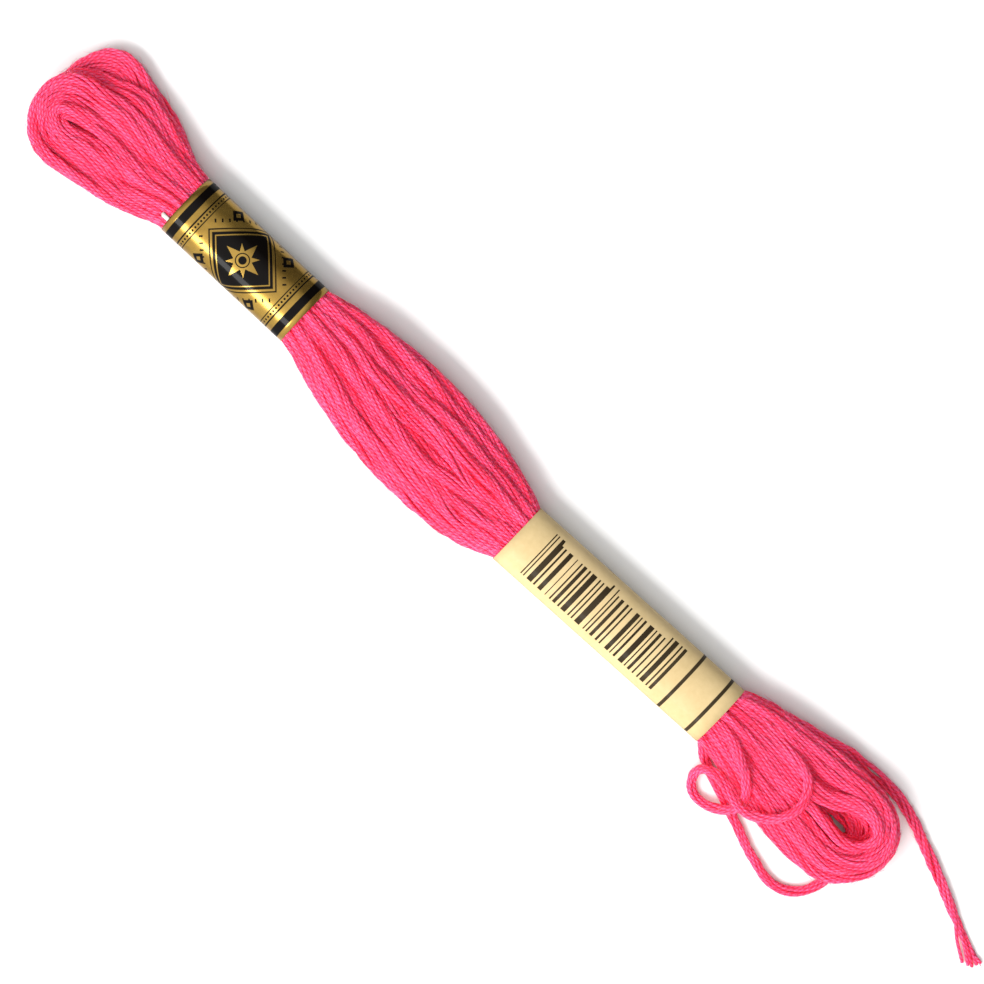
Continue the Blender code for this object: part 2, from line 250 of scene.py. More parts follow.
def wound_line():
    """The whole floss as one fine line, and for each point the name of the
    free cord that it belongs to, or an empty name."""
    parts, names = [], []

    def add(points, name=""):
        parts.append(np.asarray(points, float))
        names.extend([name] * len(points))

    for i, turn in enumerate(ORDER):
        back = pass_line(*turn, -1)[::-1]
        if i == 0:                      # the hidden end lies inside the band
            back = back[back[:, 0] < 44.0]
        if turn == CURL_TO:
            back = back[back[:, 0] < 56.0]
        if turn == BIGHT_TO:
            back = back[back[:, 0] < 50.0]
        add(back)
        add(end_arc("top", turn, turn, -1))
        there = pass_line(*turn, +1)
        if turn == CURL_FROM:
            there = there[there[:, 0] < 62.0]
        if i == len(ORDER) - 1:
            there = there[there[:, 0] < 64.0]
        add(there)
        if i == len(ORDER) - 1:
            add(dense(ROUTES["pull_tail"]), "pull_tail")
        elif turn == CURL_FROM:
            add(dense(ROUTES["slack_curl"])[::-1], "slack_curl")
        elif turn == BIGHT_FROM:
            arc = end_arc("low", BIGHT_TO, turn, +1)[::-1]
            add(arc[:19])
            add(dense(ROUTES["slack_bight"])[::-1], "slack_bight")
        else:
            add(end_arc("low", ORDER[i + 1], turn, +1)[::-1])
    return parts, names


def wind():
    """Control points along the floss at an even step, with cord labels."""
    parts, names = wound_line()
    line = np.vstack(parts)
    labels = np.array(names)
    keep = [0]
    fixed = labels != ""
    for i in range(1, len(line)):
        if fixed[i] or np.linalg.norm(line[i] - line[keep[-1]]) > 0.25:
            keep.append(i)
    line, labels = line[keep], labels[keep]
    run = runs(line)
    n = int(round(run[-1] / STEP))
    want = np.linspace(0, run[-1], n + 1)
    pts = np.stack([np.interp(want, run, line[:, k]) for k in range(3)], 1)
    near = np.searchsorted(run, want).clip(1, len(run) - 1)
    lab = np.where((labels[near] == labels[near - 1]), labels[near], "")
    # round off the corners of the design where no cord is fixed
    free = lab == ""
    for _ in range(5):
        mid = pts.copy()
        mid[1:-1] = 0.25 * pts[:-2] + 0.5 * pts[1:-1] + 0.25 * pts[2:]
        pts[free] = mid[free]
    return pts, lab


STEP = 1.0


def pairs_within(p, radius, chain, skip):
    """Index pairs closer than radius that aren't neighbours on one chain."""
    order = np.argsort(p[:, 0], kind="stable")
    q = p[order]
    x = q[:, 0]
    n = len(q)
    out_i, out_j = [], []
    k = 1
    reach = np.searchsorted(x, x + radius, side="right") - np.arange(n) - 1
    longest = int(reach.max())
    r2 = radius * radius
    alive = np.arange(n)
    while k <= longest:
        alive = alive[reach[alive] >= k]
        if not len(alive):
            break
        d = q[alive + k] - q[alive]
        near = (d * d).sum(1) < r2
        if near.any():
            a = order[alive[near]]
            b = order[alive[near] + k]
            far = (chain[a] != chain[b]) | (np.abs(a - b) > skip)
            out_i.append(a[far])
            out_j.append(b[far])
        k += 1
    return np.concatenate(out_i), np.concatenate(out_j)


def add_at(total, index, value):
    for k in range(3):
        total[:, k] += np.bincount(index, value[:, k], len(total))


def band_oval(p, spare):
    """Pulls points inside the bands' inner oval."""
    for b in BANDS.values():
        inside = (p[:, 0] > b["x0"] - 0.4) & (p[:, 0] < b["x1"] + 0.4)
        if not inside.any():
            continue
        q = p[inside]
        f = (q[:, 0] - b["x0"]) / (b["x1"] - b["x0"])
        yc = b["y0"] + (b["y1"] - b["y0"]) * f
        zc = b["low"] + b["high"] / 2
        a = b["wide"] / 2 - 0.30 - spare[inside]
        c = b["high"] / 2 - 0.30 - spare[inside]
        dy, dz = q[:, 1] - yc, q[:, 2] - zc
        e = BAND_SQUARE
        k = (np.abs(dy / a) ** e + np.abs(dz / c) ** e) ** (1 / e)
        s = np.where(k > 1, 1 / k, 1.0)
        q[:, 1], q[:, 2] = yc + dy * s, zc + dz * s
        p[inside] = q


def settle(pts, lab):
    """Lets the floss settle: threads push one another apart, keep their
    curves fair, and stay over the surface and inside the bands."""
    p = pts.copy()
    n = len(p)
    chain = np.zeros(n, int)
    fixed = lab != ""
    home = pts.copy()
    free = (~fixed).astype(float)[:, None]
    in_band = np.zeros(n, bool)
    for b in BANDS.values():
        in_band |= (p[:, 0] > b["x0"] - 1.5) & (p[:, 0] < b["x1"] + 1.5)
    near_band = np.zeros(n)
    for b in BANDS.values():
        near_band = np.maximum(near_band, np.clip(1 - np.maximum(b["x0"] - p[:, 0], p[:, 0] - b["x1"]) / 6.0, 0, 1))
    full = 0.64 + 0.05 * swell_weight(p[:, 0]) - 0.12 * near_band
    full -= 0.10 * np.clip((np.abs(p[:, 0]) - 71.0) / 7.0, 0, 1)
    full[fixed] = 0.64
    rounds = 130
    for it in range(rounds):
        grow = min(1.0, 0.35 + 0.65 * it / (0.7 * rounds))
        r = full * grow
        if it % 4 == 0:
            ii, jj = pairs_within(p, 1.75, chain, 5)
        for _ in range(2):
            d = p[jj] - p[ii]
            dist = np.linalg.norm(d, axis=1) + 1e-9
            gap = r[ii] + r[jj] - dist
            hit = gap > 0
            a, b = ii[hit], jj[hit]
            push = d[hit] / dist[hit, None] * (gap[hit, None] * 0.5)
            wa, wb = free[a], free[b]
            share = np.where(wa + wb > 1.5, 1.0, 2.0)
            total = np.zeros_like(p)
            add_at(total, a, -push * wa * share)
            add_at(total, b, push * wb * share)
            count = np.maximum(1, np.bincount(a, minlength=n) + np.bincount(b, minlength=n))
            p += total / np.maximum(1, 0.55 * count)[:, None] * 0.9
            # the surface it lies on, and the bands round it
            p[:, 2] = np.where(fixed, p[:, 2], np.maximum(p[:, 2], r))
            for cx, cy, ca, cb, lean, over in CLEAR:
                dx, dy = p[:, 0] - cx, p[:, 1] - cy
                u = (dx * math.cos(lean) + dy * math.sin(lean)) / (ca + 0.6)
                v = (dy * math.cos(lean) - dx * math.sin(lean)) / (cb + 0.6)
                far = np.hypot(u, v) + 1e-9
                out = np.where((far < 1) & ~fixed & (p[:, 2] >= over), 1 + 0.5 * (1 / far - 1), 1.0)
                out = np.minimum(out, 1 + 0.6 / (np.hypot(dx, dy) + 0.1))
                p[:, 0], p[:, 1] = cx + dx * out, cy + dy * out
        # threads that lie open deep in a gap are pressed up into it
        if it > 50:
            d = p[jj] - p[ii]
            over = (np.hypot(d[:, 0], d[:, 1]) < 0.80) & (np.abs(d[:, 2]) > 0.35)
            lower = np.where(d[:, 2] > 0, ii, jj)[over]
            covered = np.bincount(lower, minlength=n) > 0
            lo, hi, low, top = section(p[:, 0]).T
            u = np.clip((p[:, 1] - (lo + hi) / 2) / ((hi - lo) / 2), -0.98, 0.98)
            skin = low + (top - low) * (0.5 + 0.5 * np.sqrt(1 - u * u)) - r
            lack = np.clip(skin - p[:, 2] - 0.25, 0, 1.2)
            low_rim = (p[:, 0] > 0) & (p[:, 0] < 80.0) & (p[:, 1] < -1.3) & (p[:, 1] > -6.5)
            lift = 0.10 * lack * (~covered) * (np.abs(u) < 0.93) * (((np.abs(p[:, 0]) < 68.0) | low_rim) & ~fixed)
            p[:, 2] += lift
        # fair curves
        away = p - home
        lap = np.zeros_like(p)
        lap[1:-1] = (away[:-2] + away[2:]) / 2 - away[1:-1]
        p += free * 0.42 * lap
        lap[1:-1] = (p[:-2] + p[2:]) / 2 - p[1:-1]
        p += free * 0.05 * lap
        p += free * 0.045 * (home - p)
        hold = np.clip(0.35 * r, 0, None) + 0.18
        before = p.copy()
        band_oval(p, hold)
        p[fixed] = before[fixed]
    p[:, 2] = np.where(fixed, p[:, 2], np.maximum(p[:, 2], 0.55))
    return p


# furrows where bundles part on the upper side: points (x, y), depth, breadth
FURROWS = (
    (((-31, -3), (-27, -4), (-22, -5.5), (-18, -7), (-12, -8.2)), 0.7, 0.55),
    (((-30, -1.3), (-25, -2), (-22, -2.5), (-18.5, -3.2), (-16, -4.1), (-12, -4.6)), 1.1, 0.65),
    (((-27, 1), (-23, 0.6), (-21, -0.6), (-18, -0.2), (-12, 0.6), (-9, 0), (-5, 0.1)), 0.7, 0.55),
    (((-33, 3.6), (-26, 5), (-20, 6.2), (-15, 6.8), (-8, 6.5), (-3, 5.7), (4, 4.2), (11, 2)), 0.45, 0.50),
    (((-30, 2.6), (-25, 3.2), (-20, 4.1), (-15, 4.6)), 0.6, 0.50),
    (((-14, -6.6), (-4, -6.5), (0, -6.1), (3, -5.5), (7, -4.9)), 0.8, 0.55),
    (((-21, 2.2), (-18, 2.5), (-13, 3.2), (-8, 3.2)), 0.7, 0.50),
    (((-8, -0.7), (-4, -1.0), (0, -1.5), (3, -2.1), (9, -2.4)), 0.9, 0.55),
    (((-5, -3.6), (-2, -3.4), (1, -3.0), (5, -2.6)), 0.9, 0.55),
    (((-81.0, -4.0), (-80.7, -4.8), (-79.9, -6.4), (-78, -7.6), (-75, -7.6), (-72, -7.0), (-69, -5.8),
      (-66.5, -4.6), (-64, -3.2), (-62, -2.4)), 1.9, 0.85),
    (((-81.2, -4.6), (-79.6, -3.9), (-77.6, -3.0), (-75.6, -2.75), (-73.4, -2.6), (-70, -2.9)), 1.6, 0.70),
    (((-80.8, -2.4), (-80, -1), (-79.5, -0.2), (-78, 0.5), (-76, 0.7), (-72, 0.5), (-67, 0.4), (-62, 0.3)), 1.6, 0.75),
    (((-81.5, 2.6), (-79, 4), (-76, 4.4), (-72, 4.8), (-66, 4.9), (-60, 4)), 0.9, 0.60),
)


def part_furrows(p):
    """Parts the upper threads along the furrows."""
    out = p.copy()
    for points, depth, broad in FURROWS:
        line = dense([(x, y, 0.0) for x, y in points], 12)[:, :2]
        run = runs(line)
        box = ((p[:, 0] > line[:, 0].min() - 3) & (p[:, 0] < line[:, 0].max() + 3)
               & (p[:, 1] > line[:, 1].min() - 3) & (p[:, 1] < line[:, 1].max() + 3) & (p[:, 2] > 3.0))
        idx = np.flatnonzero(box)
        d = p[idx, None, :2] - line[None]
        dist = np.hypot(d[..., 0], d[..., 1])
        best = dist.argmin(1)
        near = dist[np.arange(len(idx)), best]
        away = d[np.arange(len(idx)), best] / (near[:, None] + 1e-6)
        ends = np.clip(np.minimum(run[best], run[-1] - run[best]) / 3.5, 0, 1)
        ends = ends * ends * (3 - 2 * ends)
        high = np.clip((p[idx, 2] - 3.6) / 2.2, 0, 1)
        u = near / broad
        w = ends * high
        out[idx, :2] += away * (0.40 * broad * u * np.exp(-0.5 * u * u) * w)[:, None]
        out[idx, 2] -= 0.80 * depth * np.exp(-0.7 * u * u) * w
    return out


import time
clock = time.time()
threads, labels = wind()
threads = settle(threads, labels)
loose_part = (labels == "")[:, None]
threads = np.where(loose_part, part_furrows(threads), threads)
print("floss points", len(threads), "length m", round(float(runs(threads)[-1]) / 1000, 2),
      "settled in", round(time.time() - clock, 1))

# ----------------------------------------------------------- the strands
STRANDS = 6
STRAND_R = 0.245
SIDES = 6


def frames(line):
    """Two directions across a line of points, level and upward."""
    t = np.gradient(line, axis=0)
    t /= np.linalg.norm(t, axis=1)[:, None] + 1e-12
    side = np.cross(np.array((0.0, 0.0, 1.0)), t)
    side /= np.linalg.norm(side, axis=1)[:, None] + 1e-9
    return t, side, np.cross(t, side)


def strand_step(x):
    """How far apart a strand's rings may be: wide inside the bands."""
    s = np.full(len(x), 0.75)
    for b in BANDS.values():
        s[(x > b["x0"] + 2.5) & (x < b["x1"] - 2.5)] = 3.6
    return s


def ring_line(p, lab):
    """The floss line sampled where the strands get their rings."""
    run = runs(p)
    place, s = [0.0], 0.0
    xs = p[:, 0]
    while s < run[-1]:
        x = np.interp(s, run, xs)
        s += float(strand_step(np.array([x]))[0])
        place.append(min(s, run[-1]))
    place = np.array(place)
    # smooth curve through the settled points, not their polygon
    fine = dense(p, 6)
    fr = runs(fine)
    want = place / run[-1] * fr[-1]
    line = np.stack([np.interp(want, fr, fine[:, k]) for k in range(3)], 1)
    idx = np.clip(np.searchsorted(run, place), 1, len(run) - 1)
    return line, lab[idx], place


rings, ring_label, ring_run = ring_line(threads, labels)


def lay_strands(line, run):
    """Six strands twisted round the floss line: an array strand, ring, xyz."""
    t, side, up = frames(line)
    out = np.zeros((STRANDS, len(line), 3))
    phase = 2 * math.pi * (run / 17.0) + 0.9 * wave(run, 71, 9.0)
    loose = 0.44 + 0.05 * wave(run, 72, 7.0) + 0.05 * swell_weight(line[:, 0])
    free = ring_label != ""
    soft = np.convolve(free.astype(float), np.ones(5) / 5, mode="same")
    loose = loose + 0.04 * soft
    # threads lie flatter where the hank is broad
    x = line[:, 0]
    flat = 0.17 * swell_weight(x) + 0.14 * np.clip((x - 54) / 8, 0, 1) + 0.14 * np.clip((-59 - x) / 6, 0, 1)
    flat = flat * (1 - soft) + np.where(ring_label == "pull_tail", 0.14, 0.07) * soft
    offset = 0.17 * np.clip(flat / 0.12, 0, 1)
    # the pulled tail's end frays
    left = run[-1] - run
    fray = np.clip(1 - left / 12.0, 0, 1) ** 1.5
    for k in range(STRANDS):
        a = phase + 2 * math.pi * k / STRANDS + 0.35 * wave(run, 80 + k, 5.0)
        r = loose * (1 + 0.18 * wave(run, 90 + k, 6.0))
        r = np.where(free, np.minimum(r, np.where(ring_label == "pull_tail", 0.47, 0.44)), r)
        r = r * (1 - 0.45 * fray)
        out[k] = line + side * ((r + flat) * np.cos(a) + offset * (np.clip(-np.sin(a), 0, 1) - 0.32))[:, None]
        out[k] += up * ((r - 0.85 * flat) * np.sin(a) * 0.92)[:, None]
        for axis, way in ((side, 200), (up, 300)):     # slack of its own
            out[k] += axis * ((0.050 + 0.03 * fray) * wave(run, way + k, 1.9))[:, None]
            out[k] += axis * (0.040 * wave(run, way + 50 + k, 4.3))[:, None]
        out[k] += side * (fray * (-1.02 + 0.41 * ((k * 5 + 1) % STRANDS) + 0.12 * wave(run, 400 + k, 2.5)))[:, None]
        out[k, :, 2] -= 0.30 * fray
    out[..., 2] = np.maximum(out[..., 2], STRAND_R)
    return out


strands = lay_strands(rings, ring_run)
print("rings", rings.shape, "strand points", strands.shape[0] * strands.shape[1],
      "at", round(time.time() - clock, 1))


def spread_strands(s):
    """Strands of neighbouring threads share the room between them."""
    k, n, _ = s.shape
    p = s.reshape(-1, 3).copy()
    home = p.copy()
    chain = np.repeat(np.arange(k), n)
    band = np.zeros(n, bool)
    for b in BANDS.values():
        band |= (rings[:, 0] > b["x0"] + 2.5) & (rings[:, 0] < b["x1"] - 2.5)
    move = np.tile(~band, k)
    hold = np.tile(np.where(ring_label == "pull_tail", 0.40, np.where(ring_label != "", 0.22, 0.05)), k)[:, None]
    live = np.flatnonzero(move)
    for it in range(26):
        if it % 5 == 0:
            a, b = pairs_within(p[live], 0.62, chain[live], 2)
            ii, jj = live[a], live[b]
            far = (chain[ii] != chain[jj]) | (np.abs(ii - jj) > 3)
            ii, jj = ii[far], jj[far]
        d = p[jj] - p[ii]
        dist = np.linalg.norm(d, axis=1) + 1e-9
        gap = 0.432 - dist
        hit = gap > 0
        i, j = ii[hit], jj[hit]
        push = d[hit] / dist[hit, None] * (gap[hit, None] * 0.5)
        total = np.zeros_like(p)
        add_at(total, i, -push)
        add_at(total, j, push)
        count = np.maximum(1, np.bincount(i, minlength=len(p)) + np.bincount(j, minlength=len(p)))
        p += total / np.maximum(1, 0.6 * count)[:, None]
        q = p.reshape(k, n, 3)
        lap = np.zeros_like(q)
        lap[:, 1:-1] = (q[:, :-2] + q[:, 2:]) / 2 - q[:, 1:-1]
        q += 0.22 * lap * (~band)[None, :, None]
        p = q.reshape(-1, 3)
        p += hold * (home - p)
        p[:, 2] = np.maximum(p[:, 2], STRAND_R)
        band_oval(p, np.full(len(p), 0.10))
    return p.reshape(k, n, 3)


strands = spread_strands(strands)
print("strands spread at", round(time.time() - clock, 1))

# ------------------------------------------------------------ floss meshes
TONES = 16
PERIOD = 14      # rings in one repeat of the strand's pattern


def tube_mesh(name, jobs, sides=SIDES):
    """A mesh of many tubes. A job is (centres, radii, tone, first ring,
    closed start, closed end)."""
    verts, faces, uvs = [], [], []
    base = 0
    ang = 2 * math.pi * np.arange(sides) / sides
    for centres, radius, tone, first, cap_a, cap_b in jobs:
        n = len(centres)
        if n < 2:
            continue
        t, side, up = frames(centres)
        r = np.broadcast_to(radius, (n,))
        ring = (centres[:, None, :] + side[:, None, :] * (np.cos(ang)[None, :, None] * r[:, None, None])
                + up[:, None, :] * (np.sin(ang)[None, :, None] * r[:, None, None]))
        v = ring.reshape(-1, 3)
        i = np.arange(n - 1)[:, None] * sides
        j = np.arange(sides)[None, :]
        jn = (j + 1) % sides
        f = np.stack([base + i + j, base + i + jn, base + i + sides + jn, base + i + sides + j], -1).reshape(-1, 4)
        u0 = (tone + (j + 0.0) / sides * 1.0) / TONES
        u1 = (tone + (j + 1.0) / sides * 1.0) / TONES
        row = ((first + np.arange(n - 1)) % PERIOD)[:, None]
        v0 = (row / PERIOD) + 0 * j
        v1 = ((row + 1) / PERIOD) + 0 * j
        u0, u1 = u0 + 0 * row, u1 + 0 * row
        uv = np.stack([np.stack([u0, v0], -1), np.stack([u1, v0], -1),
                       np.stack([u1, v1], -1), np.stack([u0, v1], -1)], -2).reshape(-1, 4, 2)
        verts.append(v)
        faces.append(f)
        uvs.append(uv)
        base += len(v)
        for cap, at, turn in ((cap_a, 0, -1), (cap_b, n - 1, 1)):
            if not cap:
                continue
            tip = centres[at] + t[at] * turn * float(r[at]) * 0.5
            verts.append(tip[None])
            tip_index = base
            base += 1
            origin = tip_index - len(v) - (0 if at == 0 or not cap_a else 1)
            ids = origin + at * sides + np.arange(sides)
            nxt = np.roll(ids, -1)
            tri = np.stack([ids, nxt, np.full(sides, tip_index), np.full(sides, tip_index)], -1)
            if turn < 0:
                tri = tri[:, [1, 0, 2, 3]]
            faces.append(tri)
            uu = (tone + 0.5) / TONES
            uvs.append(np.full((sides, 4, 2), (uu, 0.5)) + np.array([[0, 0], [0.01, 0], [0.01, 0.01], [0, 0.01]])[None])
    verts = np.vstack(verts) * MM
    faces = np.vstack(faces)
    uvs = np.vstack(uvs)
    tri = faces[:, 2] == faces[:, 3]
    sizes = np.where(tri, 3, 4)
    starts = np.concatenate([[0], np.cumsum(sizes)[:-1]])
    mask = np.ones(faces.shape, bool)
    mask[tri, 3] = False
    loops = faces[mask]
    luv = uvs[mask]
    mesh = bpy.data.meshes.new(name)
    mesh.vertices.add(len(verts))
    mesh.vertices.foreach_set("co", verts.astype(np.float32).ravel())
    mesh.loops.add(len(loops))
    mesh.loops.foreach_set("vertex_index", loops.astype(np.int32))
    mesh.polygons.add(len(faces))
    mesh.polygons.foreach_set("loop_start", starts.astype(np.int32))
    mesh.polygons.foreach_set("loop_total", sizes.astype(np.int32))
    mesh.update(calc_edges=True)
    for uv_name in ("floss_uv", "OFBake"):
        layer = mesh.uv_layers.new(name=uv_name)
        layer.data.foreach_set("uv", luv.astype(np.float32).ravel())
    mesh.shade_smooth()
    mesh.validate()
    obj = bpy.data.objects.new(name, mesh)
    bpy.context.scene.collection.objects.link(obj)
    return obj


def stretches(mask):
    """First and last index of each run of True."""
    m = np.concatenate([[False], mask, [False]])
    edge = np.flatnonzero(m[1:] != m[:-1])
    return [(a, b - 1) for a, b in zip(edge[::2], edge[1::2])]


tone_of = np.array([(k * 5 + 3) % TONES for k in range(STRANDS)])
n_rings = len(rings)
cord_pieces = {}
# a cord's piece is its own stretch of rings; the hank has all the others,
# and the ring at each border belongs to both
jobs_hank = []
for a, b in stretches(ring_label == ""):
    a2, b2 = max(a - 1, 0), min(b + 1, n_rings - 1)
    for k in range(STRANDS):
        i = a2
        turn_no = 0
        while i < b2:          # long runs are cut where they change tone
            j = min(i + 400, b2)
            tone = int((tone_of[k] + 7 * turn_no + k * turn_no) % TONES)
            jobs_hank.append((strands[k, i:j + 1], STRAND_R, tone, i, i == 0, j == n_rings - 1))
            i, turn_no = j, turn_no + 1
per_piece = 4
sizes = np.array([len(j[0]) for j in jobs_hank])
order_jobs = np.argsort([j[3] for j in jobs_hank], kind="stable")
cum = np.cumsum(sizes[order_jobs])
hank_pieces = []
for g in range(per_piece):
    pick = [order_jobs[i] for i in range(len(order_jobs))
            if cum[-1] * g / per_piece <= cum[i] - 1 < cum[-1] * (g + 1) / per_piece]
    hank_pieces.append(tube_mesh(f"floss_turns_{g + 1}", [jobs_hank[i] for i in pick]))
for name in ROUTES:
    (a, b), = stretches(ring_label == name)
    jobs = []
    for k in range(STRANDS):
        e = b + 1 - (1, 2, 0, 1, 0, 0)[k] if name == "pull_tail" else b + 1
        radii = np.full(e - a, STRAND_R)
        if name == "pull_tail":
            radii[-5:] = STRAND_R * np.array((1.0, 1.04, 1.10, 1.12, 0.95))
        jobs.append((strands[k, a:e], radii, int(tone_of[k]), a, False, name == "pull_tail"))
    cord_pieces[name] = (tube_mesh("floss_" + name, jobs), rings[a:b + 1])


def bed_strands():
    """Strands that lie just under the outer ones, so that the seams between
    turns are shallow and show floss."""
    cell = 0.15
    x0, y0 = -86.0, -12.0
    nx, ny = int(172 / cell), int(24 / cell)
    high = np.zeros((nx, ny))
    loose = ring_label == ""
    for k in range(STRANDS):
        s = strands[k][loose]
        near = np.linalg.norm(np.diff(s, axis=0), axis=1) < 3.0
        a, b = s[:-1][near], s[1:][near]
        for f in np.arange(0, 1, 1 / 7):
            q = a + (b - a) * f
            i = ((q[:, 0] - x0) / cell).astype(int)
            j = ((q[:, 1] - y0) / cell).astype(int)
            for di, dj in ((0, 0), (0, 1), (0, -1), (1, 0), (-1, 0)):
                ii, jj = np.clip(i + di, 0, nx - 1), np.clip(j + dj, 0, ny - 1)
                np.maximum.at(high, (ii, jj), q[:, 2] + STRAND_R - (0.0 if di == dj == 0 else 0.06))
    there = (high > 2.5).astype(float)

    def soften(m):
        for span in (5, 5, 5):
            pad = np.pad(m, span // 2, mode="edge")
            m = sum(pad[i:i + nx, span // 2:span // 2 + ny] for i in range(span)) / span
            pad = np.pad(m, span // 2, mode="edge")
            m = sum(pad[span // 2:span // 2 + nx, j:j + ny] for j in range(span)) / span
        return m
    cover = soften(there)
    mean = soften(high * there) / np.maximum(cover, 1e-3)
    jobs = []
    for a, b in ((-71.0, -57.2), (-32.4, 11.3), (52.1, 67.5)):
        x = np.arange(a, b, 0.85)
        lo, hi, low, top = section(x).T
        count = 46
        for row in range(count):
            u = -0.86 + 1.72 * row / (count - 1) + 0.012 * wave(x + 100 * row, 500 + row % 7, 6.0)
            y = (lo + hi) / 2 + (hi - lo) / 2 * u
            i = np.clip(((x - x0) / cell).astype(int), 0, nx - 1)
            j = np.clip(((y - y0) / cell).astype(int), 0, ny - 1)
            z = mean[i, j] - BED
            fine = (cover[i, j] > 0.97) & (z > 2.0)
            z = np.convolve(np.pad(z, 1, mode="edge"), (0.25, 0.5, 0.25), mode="valid")
            for c, d in stretches(fine):
                if d - c < 5:
                    continue
                line = np.stack([x, y, z], 1)[c:d + 1]
                line[[0, -1], 2] -= 0.5
                jobs.append((line, STRAND_R, (row * 5) % TONES, 3 * row, True, True))
    return tube_mesh("floss_bed", jobs)


BED = 0.62
hank_pieces.append(bed_strands())
print("bed at", round(time.time() - clock, 1),
      sum(len(q.vertices) - 2 for q in hank_pieces[-1].data.polygons))
print("meshes at", round(time.time() - clock, 1),
      [sum(len(p.vertices) - 2 for p in o.data.polygons) for o in hank_pieces + [c[0] for c in cord_pieces.values()]])


FUZZ = 8400


def fuzz_mesh(name):
    """Fine fibres that stand off the outer strands, as on any spun cotton."""
    rng = np.random.default_rng(4411)
    along = np.gradient(strands, axis=1)
    along /= np.linalg.norm(along, axis=2)[..., None] + 1e-9
    p, t = strands.reshape(-1, 3), along.reshape(-1, 3)
    cord = np.tile(ring_label != "", STRANDS)
    x = p[:, 0]
    lo, hi, low, top = section(x).T
    end = np.where(x < 0, -76.0, 75.0)
    past = np.where(np.abs(x) > np.abs(end), (x - end) / 8.5, 0.0)
    way = np.stack([past, (p[:, 1] - (lo + hi) / 2) / ((hi - lo) / 2), (p[:, 2] - (low + top) / 2) / ((top - low) / 2)], 1)
    rim = np.linalg.norm(way, axis=1)
    way[:, 2] *= 1.6
    way[cord] = rng.normal(0, 1, (int(cord.sum()), 3)) + (0, 0, 0.8)
    open_air = (rim > 0.78) | (p[:, 2] > top - 1.3) | cord
    for b in BANDS.values():
        open_air &= (x < b["x0"] - 2.2) | (x > b["x1"] + 2.2)
    pick = rng.choice(np.flatnonzero(open_air), FUZZ, replace=False)
    root, t = p[pick] + t[pick] * rng.uniform(-0.35, 0.35, (FUZZ, 1)), t[pick]
    out = way[pick] + rng.normal(0, 0.45, (FUZZ, 3))
    out -= t * (out * t).sum(1)[:, None]
    out /= np.linalg.norm(out, axis=1)[:, None] + 1e-9
    side = np.cross(t, out)
    root = root + out * STRAND_R * 0.75
    length = rng.uniform(0.6, 2.1, FUZZ) * np.where(rng.random(FUZZ) < 0.5, -1, 1)
    lift = rng.uniform(0.05, 0.20, FUZZ) + 0.22 * (rng.random(FUZZ) < 0.12)
    sway = rng.normal(0, 0.24, FUZZ)
    tip = rng.uniform(0.3, 1.4, FUZZ)
    rings_at = []
    for f, up, over in ((0.0, 0.0, 0.0), (0.35, 0.9, 0.3), (0.70, 1.1, 0.8), (1.0, tip, 1.5)):
        rings_at.append(root + t * (length * f)[:, None] + out * (lift * up)[:, None] + side * (sway * over)[:, None])
    line = np.stack(rings_at, 1)                         # fibre, ring, xyz
    line[..., 2] = np.maximum(line[..., 2], 0.03)
    thick = np.array((0.021, 0.019, 0.016, 0.009))
    a = 2 * math.pi * np.arange(3) / 3
    spoke = out[:, None] * np.cos(a)[None, :, None] + side[:, None] * np.sin(a)[None, :, None]
    verts = (line[:, :, None] + spoke[:, None] * thick[None, :, None, None]).reshape(-1, 3) * MM
    j = np.arange(3)
    quads = np.concatenate([np.stack([r * 3 + j, r * 3 + (j + 1) % 3, r * 3 + 3 + (j + 1) % 3, r * 3 + 3 + j], 1)
                            for r in range(3)])
    turned = (length < 0)[:, None, None]
    base = (np.arange(FUZZ) * 12)[:, None, None]
    faces = np.where(turned, quads[None], quads[None, :, ::-1]) + base
    caps = np.where(turned, np.array(((0, 2, 1), (9, 10, 11)))[None], np.array(((0, 1, 2), (9, 11, 10)))[None]) + base
    faces, caps = faces.reshape(-1, 4), caps.reshape(-1, 3)
    loops = np.concatenate([faces.ravel(), caps.ravel()])
    total = np.concatenate([np.full(len(faces), 4), np.full(len(caps), 3)])
    tone = rng.integers(0, TONES, FUZZ)
    at = rng.uniform(0, 0.9, FUZZ)
    place = np.stack([(tone + 0.5) / TONES, at], 1)      # each fibre takes one spot of the pattern
    uv = place[loops // 12] + np.stack([(loops % 3) * 0.2 / TONES, (loops % 12) // 3 * 0.02], 1)
    mesh = bpy.data.meshes.new(name)
    mesh.vertices.add(len(verts))
    mesh.vertices.foreach_set("co", verts.astype(np.float32).ravel())
    mesh.loops.add(len(loops))
    mesh.loops.foreach_set("vertex_index", loops.astype(np.int32))
    mesh.polygons.add(len(total))
    mesh.polygons.foreach_set("loop_start", np.concatenate([[0], np.cumsum(total)[:-1]]).astype(np.int32))
    mesh.polygons.foreach_set("loop_total", total.astype(np.int32))
    mesh.update(calc_edges=True)
    for uv_name in ("floss_uv", "OFBake"):
        layer = mesh.uv_layers.new(name=uv_name)
        layer.data.foreach_set("uv", uv.astype(np.float32).ravel())
    mesh.shade_smooth()
    mesh.validate()
    obj = bpy.data.objects.new(name, mesh)
    bpy.context.scene.collection.objects.link(obj)
    return obj


hank_pieces.append(fuzz_mesh("floss_fuzz"))
print("fuzz at", round(time.time() - clock, 1))


# --------------------------------------------------------------- materials
def srgb(r, g, b):
    def lin(c):
        c /= 255.0
        return c / 12.92 if c <= 0.04045 else ((c + 0.055) / 1.055) ** 2.4
    return (lin(r), lin(g), lin(b), 1.0)


